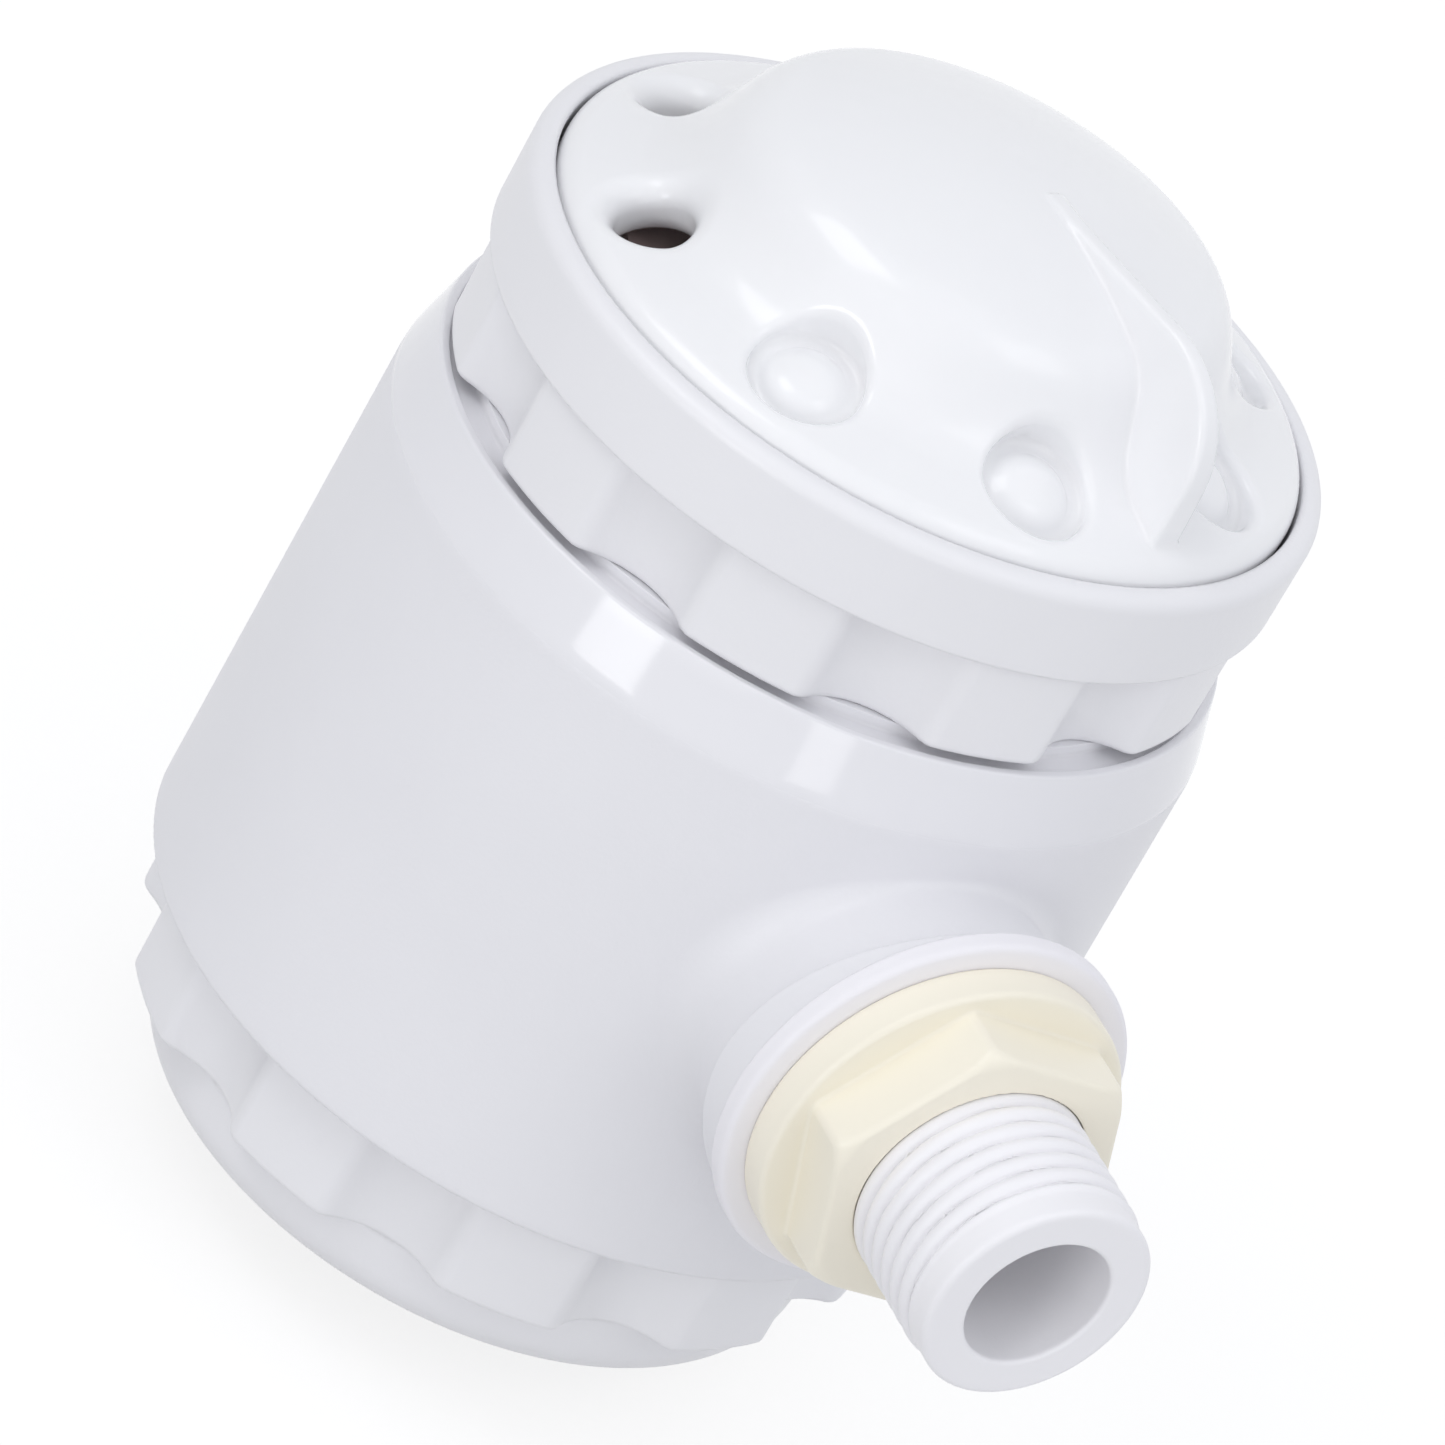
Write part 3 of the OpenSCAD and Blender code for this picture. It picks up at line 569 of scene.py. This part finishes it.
def nut_field(x, y, z):
    across = np.hypot(y, z - INLET_Z)
    flange = round_both(across - FLANGE_R, x - (GASKET_X + FLANGE_THICK), 0.5)
    flange = round_both(flange, GASKET_X - x, 0.3)
    pitch = math.radians(60)
    a = np.arctan2(z - INLET_Z, y) - math.radians(HEX_DEG) - pitch / 2
    a = a - np.round(a / pitch) * pitch
    hexa = across * np.cos(a) - HEX_FLAT
    for turn in (-pitch, pitch):
        hexa = round_both(hexa, across * np.cos(a + turn) - HEX_FLAT, 0.5)
    hexa = round_both(hexa, x - NUT_X, 0.5)
    cone = ((x - NUT_X) + (across - HEX_CHAMFER_R)) / math.sqrt(2)
    hexa = round_both(hexa, cone, 0.4)
    hexa = np.maximum(hexa, GASKET_X + 1 - x)
    d = round_union(flange, hexa, 0.35)
    return round_cut(d, thread_wall(x, y, z) - 0.07, 0.12)


nut = from_field(
    "nut_skin", nut_field, (GASKET_X - 1, -18, INLET_Z - 18), (NUT_X + 1, 18, INLET_Z + 18), 0.25
)
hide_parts("flange_nut")
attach(nut, "inlet_nut")


def gasket_field(x, y, z):
    across = np.hypot(y, z - INLET_Z)
    d = round_both(across - GASKET_R, x - GASKET_X, 0.6)
    d = round_both(d, BOSS_X - x, 0.25)
    return round_cut(d, across - INLET_HOLE_R, 0.3)


gasket = from_field(
    "gasket_skin",
    gasket_field,
    (BOSS_X - 1, -20, INLET_Z - 20),
    (GASKET_X + 1, 20, INLET_Z + 20),
    0.3,
)
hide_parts("boss_gasket")
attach(gasket, "inlet_seal")


def nipple_field(x, y, z):
    across = np.hypot(y, z - INLET_Z)
    fade = np.clip((x - (TIP_X - PLAIN_TIP - 0.4)) / 0.7, 0, 1)
    tip = (across - THREAD_R + 0.33) * 0.8
    wall = thread_wall(x, y, z) * (1 - fade) + tip * fade
    d = round_both(wall, x - TIP_X, 0.55)
    head = np.maximum(across - HEAD_R, np.maximum(HEAD_X[0] - x, x - HEAD_X[1]))
    d = np.minimum(d, head)
    d = np.maximum(d, HEAD_X[0] - x)
    return round_cut(d, across - INLET_BORE, 0.35)


nipple = from_field(
    "nipple_skin",
    nipple_field,
    (25.5, -15.5, INLET_Z - 15.5),
    (TIP_X + 1, 15.5, INLET_Z + 15.5),
    0.25,
)
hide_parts("inlet_nipple")
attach(nipple, "canister")


# ---------------------------------------------------------------- materials
def node(tree, kind, values=None, operation=None):
    """A new shader node, with its operation and the values of its inputs."""
    made = tree.nodes.new("ShaderNode" + kind)
    if operation:
        made.operation = operation
    for key, value in (values or {}).items():
        made.inputs[key].default_value = value
    return made


def material(name, colour, rough, bump=0.0, grain=900.0, sss=0.0, metallic=0.0):
    """A plastic, rubber or metal with a faint mottle, and a grain where bump is above zero."""
    mat = bpy.data.materials.new(name)
    mat.use_nodes = True
    tree = mat.node_tree
    shader = tree.nodes["Principled BSDF"]
    coords = node(tree, "TexCoord")
    tint = node(tree, "TexNoise", {"Scale": 35, "Detail": 4})
    tree.links.new(coords.outputs["Object"], tint.inputs["Vector"])
    ramp = node(tree, "ValToRGB")
    colour = np.array(colour)
    for stop, place, shift in zip(ramp.color_ramp.elements, (0.3, 0.7), (-0.015, 0.0075)):
        stop.position = place
        stop.color = (*np.clip(colour + shift, 0, 1), 1)
    tree.links.new(tint.outputs["Fac"], ramp.inputs["Fac"])
    tree.links.new(ramp.outputs["Color"], shader.inputs["Base Color"])
    shader.inputs["Roughness"].default_value = rough
    shader.inputs["Metallic"].default_value = metallic
    shader.inputs["Subsurface Weight"].default_value = sss
    shader.inputs["Subsurface Radius"].default_value = (1, 1, 1)
    shader.inputs["Subsurface Scale"].default_value = 0.003
    if bump:
        fine = node(tree, "TexNoise", {"Scale": grain, "Detail": 3})
        tree.links.new(coords.outputs["Object"], fine.inputs["Vector"])
        relief = node(tree, "Bump", {"Strength": bump, "Distance": 0.0002})
        tree.links.new(fine.outputs["Fac"], relief.inputs["Height"])
        tree.links.new(relief.outputs["Normal"], shader.inputs["Normal"])
    return mat


def polish_band(mat, from_z, to_z, rough):
    """A polished band between two heights, and a satin grain everywhere else."""
    tree = mat.node_tree
    shader = tree.nodes["Principled BSDF"]
    relief = next(n for n in tree.nodes if n.bl_idname == "ShaderNodeBump")
    coords = node(tree, "TexCoord")
    place = node(tree, "SeparateXYZ")
    tree.links.new(coords.outputs["Object"], place.inputs[0])
    middle_z, half = (from_z + to_z) / 2 * MM, (to_z - from_z) / 2 * MM
    band = node(tree, "Math", {1: middle_z, 2: half}, "COMPARE")
    tree.links.new(place.outputs["Z"], band.inputs[0])
    for socket, polished in ((shader.inputs["Roughness"], rough), (relief.inputs["Strength"], 0.0)):
        blend = node(tree, "MapRange", {"To Min": socket.default_value, "To Max": polished})
        tree.links.new(band.outputs[0], blend.inputs["Value"])
        tree.links.new(blend.outputs[0], socket)


def put(obj, mat):
    """The material in all of the object's slots."""
    if obj.data.materials:
        for i in range(len(obj.data.materials)):
            obj.data.materials[i] = mat
    else:
        obj.data.materials.append(mat)


M = {
    "body": material("body_abs", (0.84, 0.835, 0.86), 0.42, 0.1, 2200),
    "cap": material("cap_abs", (0.865, 0.86, 0.88), 0.36, 0.08, 1800),
    "dial": material("dial_abs", (0.915, 0.915, 0.928), 0.16, sss=0.25),
    "nut": material("nut_abs", (0.945, 0.895, 0.76), 0.36, 0.1, 900),
    "soft_gasket": material("gasket_rubber", (0.90, 0.885, 0.915), 0.5, 0.12, 700),
    "nipple": material("nipple_abs", (0.92, 0.91, 0.93), 0.45, 0.12, 900),
    "seal": material("seal_rubber", (0.25, 0.24, 0.24), 0.6, 0.2, 600),
    "shutter": material("shutter_rubber", (0.62, 0.48, 0.46), 0.55, 0.2, 600),
    "oring": material("oring_rubber", (0.03, 0.03, 0.03), 0.4, 0.1, 600),
    "basket": material("basket_pp", (0.80, 0.80, 0.80), 0.4, 0.2, 900),
    "glide": material("glide_pom", (0.85, 0.85, 0.85), 0.35, 0.1, 700),
    "steel": material("spring_steel", (0.55, 0.55, 0.56), 0.3, 0.15, 500, metallic=1.0),
}
polish_band(M["body"], RIM_Z - BEVEL_HEIGHT, RIM_Z + 1, 0.1)
for part in frame["record"]["subparts"]:
    put(NODES[part["node"]], M[part["material_slot"]])
SKINS = {
    "body": (body, collar, seat, upper_thread, lower_thread),
    "cap": (top_cap, bottom_cap),
    "dial": (dial,),
    "nut": (nut,),
    "soft_gasket": (gasket,),
    "nipple": (nipple,),
}
for slot, skins in SKINS.items():
    for skin in skins:
        put(skin, M[slot])


# ---------------------------------------------------------------- light
MIDDLE = Vector((0.0, 0.0, 0.055))


def lamp(name, az, el, dist, size, level):
    """A softbox seen from the object at an azimuth and height, at a radiance level."""
    a, e = math.radians(az), math.radians(el)
    away = Vector((math.cos(e) * math.cos(a), math.cos(e) * math.sin(a), math.sin(e)))
    data = bpy.data.lights.new(name, "AREA")
    data.shape = "RECTANGLE"
    data.size, data.size_y = size
    data.energy = level * math.pi * size[0] * size[1]
    obj = add(name, data)
    obj.visible_camera = False
    obj.location = MIDDLE + dist * away
    obj.rotation_euler = (-away).to_track_quat("-Z", "Y").to_euler()


lamp("box_left", -68, 6, 1.2, (0.38, 0.30), 4.2)
lamp("box_right", -12, 6, 1.2, (0.23, 0.30), 2.4)
lamp("box_front", -62, 24, 1.3, (1.3, 1.0), 0.3)
lamp("box_over", -105, 55, 1.2, (0.6, 0.5), 2.2)
lamp("box_high", 12, 50, 1.2, (0.5, 0.5), 1.1)


def looked_at(tree):
    """1 for camera, glossy and transmission rays, and 0 for the rays that light things."""
    path = node(tree, "LightPath")
    total = path.outputs["Is Camera Ray"]
    for ray in ("Is Glossy Ray", "Is Transmission Ray"):
        either = node(tree, "Math", operation="MAXIMUM")
        tree.links.new(total, either.inputs[0])
        tree.links.new(path.outputs[ray], either.inputs[1])
        total = either.outputs[0]
    return total


def two_looks(tree, kind, lit, seen):
    """The output lit for the rays that light things, and seen for the rays that look."""
    mix = node(tree, "MixShader")
    tree.links.new(looked_at(tree), mix.inputs[0])
    tree.links.new(lit, mix.inputs[1])
    tree.links.new(seen, mix.inputs[2])
    tree.links.new(mix.outputs[0], node(tree, kind).inputs["Surface"])


# The world lights things more from one side, by LEAN, and looks plain white.
WORLD_LEVEL = 0.6
WORLD_SWING = 0.264
LEAN = (0.58, 0.32, 0.75)


def make_world():
    world = bpy.data.worlds.new("world")
    bpy.context.scene.world = world
    world.use_nodes = True
    tree = world.node_tree
    tree.nodes.clear()
    sky = node(tree, "TexCoord")
    toward = node(tree, "VectorMath", {1: LEAN}, "DOT_PRODUCT")
    tree.links.new(sky.outputs["Generated"], toward.inputs[0])
    level = node(tree, "Math", {1: WORLD_SWING, 2: WORLD_LEVEL}, "MULTIPLY_ADD")
    tree.links.new(toward.outputs["Value"], level.inputs[0])
    lit = node(tree, "Background", {"Color": (0.93, 0.95, 1.0, 1)})
    tree.links.new(level.outputs[0], lit.inputs["Strength"])
    seen = node(tree, "Background", {"Color": (1, 1, 1, 1), "Strength": 1.0})
    two_looks(tree, "OutputWorld", lit.outputs[0], seen.outputs[0])


make_world()


# ---------------------------------------------------------------- floor
# The floor is just under the lowest place that the bottom cap drops to.
FLOOR_Z = -6.5 * MM
FLOOR_HALF = 3.0


def make_floor():
    """A pale floor that looks white, and darker only in the object's shadow."""
    sides = ((-1, -1), (1, -1), (1, 1), (-1, 1))
    mesh = bpy.data.meshes.new("floor")
    mesh.from_pydata(
        [(x * FLOOR_HALF, y * FLOOR_HALF, FLOOR_Z) for x, y in sides], [], [(0, 1, 2, 3)]
    )
    floor = add("floor", mesh)
    mat = bpy.data.materials.new("pale_floor")
    mat.use_nodes = True
    tree = mat.node_tree
    tree.nodes.clear()
    lit = node(tree, "BsdfDiffuse", {"Color": (0.68, 0.68, 0.68, 1)})
    glow = node(tree, "Emission", {"Color": (1, 1, 1, 1), "Strength": 0.8})
    shade = node(tree, "BsdfDiffuse", {"Color": (0.25, 0.25, 0.25, 1)})
    both = node(tree, "AddShader")
    tree.links.new(glow.outputs[0], both.inputs[0])
    tree.links.new(shade.outputs[0], both.inputs[1])
    two_looks(tree, "OutputMaterial", lit.outputs[0], both.outputs[0])
    floor.data.materials.append(mat)


make_floor()
bpy.context.scene.view_settings.view_transform = "Standard"
